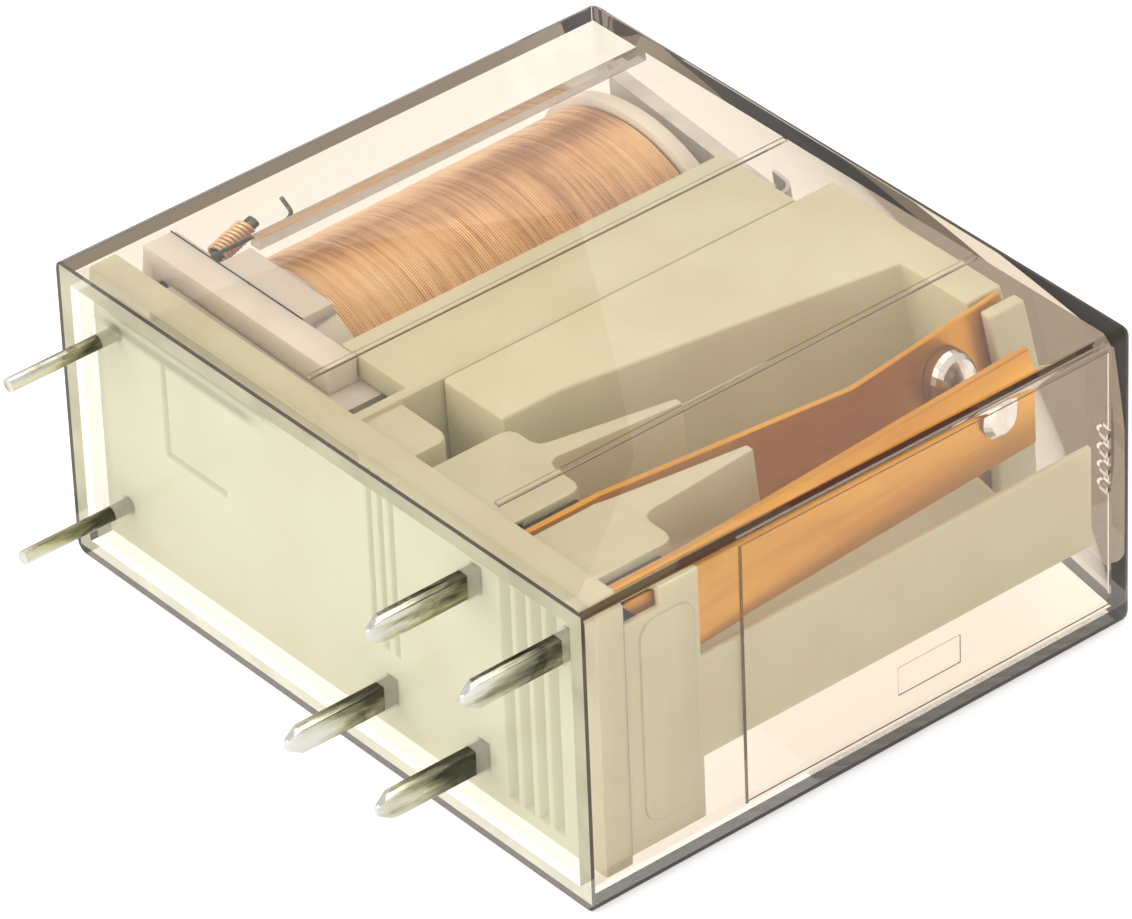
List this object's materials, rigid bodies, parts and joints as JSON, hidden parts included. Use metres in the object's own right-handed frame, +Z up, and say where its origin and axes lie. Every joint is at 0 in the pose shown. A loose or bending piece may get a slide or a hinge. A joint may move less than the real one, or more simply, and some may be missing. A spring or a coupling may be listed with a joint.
{
  "type": "relay",
  "caption": "Flat board relay with a coil, a hinged armature and a card that drives its contact springs, sealed in a clear cover with pins below.",
  "frame": {"origin": "centre of the relay's box, on the large face that it lies on", "axes": "+X runs along the base from the coil end to the contact end, +Y from the pins to the closed end of the cover, and +Z is up, across the thickness"},
  "size_m": [0.029, 0.0288, 0.0127],
  "materials": {
    "clear_cover": "clear, gloss",
    "clear_resin": "clear, gloss, slightly yellow",
    "cream_plastic": "satin moulded",
    "bobbin_plastic": "satin moulded, slightly translucent",
    "enamelled_copper": "enamelled fine wire",
    "soft_iron": "plain, annealed",
    "spring_steel": "bright leaf",
    "spring_bronze": "rolled bronze sheet",
    "tinned_metal": "tinned, bright",
    "silver_contact": "silver alloy, domed"
  },
  "bodies": {
    "housing": {"cover": "clear_cover", "sealing_resin": "clear_resin", "base": "cream_plastic", "bobbin": "bobbin_plastic", "coil_winding": "enamelled_copper", "wire_wrap_upper": "enamelled_copper", "wire_wrap_lower": "enamelled_copper", "coil_lead_upper": "tinned_metal", "coil_lead_lower": "tinned_metal", "coil_pin_upper": "tinned_metal", "coil_pin_lower": "tinned_metal", "core": "soft_iron", "yoke": "soft_iron", "hinge_spring": "spring_steel", "no_fixed_spring": "spring_bronze", "nc_fixed_spring": "spring_bronze", "no_fixed_contact": "silver_contact", "nc_fixed_contact": "silver_contact", "no_moving_terminal": "tinned_metal", "no_fixed_terminal": "tinned_metal", "nc_moving_terminal": "tinned_metal", "nc_fixed_terminal": "tinned_metal"},
    "armature": {"armature": "soft_iron"},
    "card": {"actuator": "cream_plastic"},
    "no_leaf": {"no_moving_spring": "spring_bronze", "no_moving_contact": "silver_contact"},
    "nc_leaf": {"nc_moving_spring": "spring_bronze", "nc_moving_contact": "silver_contact"}
  },
  "joints": [
    {"name": "card_slide", "type": "slide", "parent": "housing", "child": "card", "axis": [1, 0, 0], "range_m": [0, 0.000698], "stiffness_N_per_m": 30},
    {"name": "armature_hinge", "type": "hinge", "parent": "housing", "child": "armature", "pos_m": [-0.00205, 0.01181, 0.00635], "axis": [0, 0, 1], "range_deg": [0, 5]},
    {"name": "no_leaf_hinge", "type": "hinge", "parent": "housing", "child": "no_leaf", "pos_m": [0.00869, -0.00842, 0.00635], "axis": [0, 0, -1], "range_deg": [0, 1.93]},
    {"name": "nc_leaf_hinge", "type": "hinge", "parent": "housing", "child": "nc_leaf", "pos_m": [0.00869, -0.00842, 0.00635], "axis": [0, 0, -1], "range_deg": [0, 1.93]}
  ],
  "couplings": [
    {"joint": "armature_hinge", "follows": "card_slide", "rad_per_m": 125},
    {"joint": "no_leaf_hinge", "follows": "card_slide", "rad_per_m": 48.149},
    {"joint": "nc_leaf_hinge", "follows": "card_slide", "rad_per_m": 48.149}
  ]
}
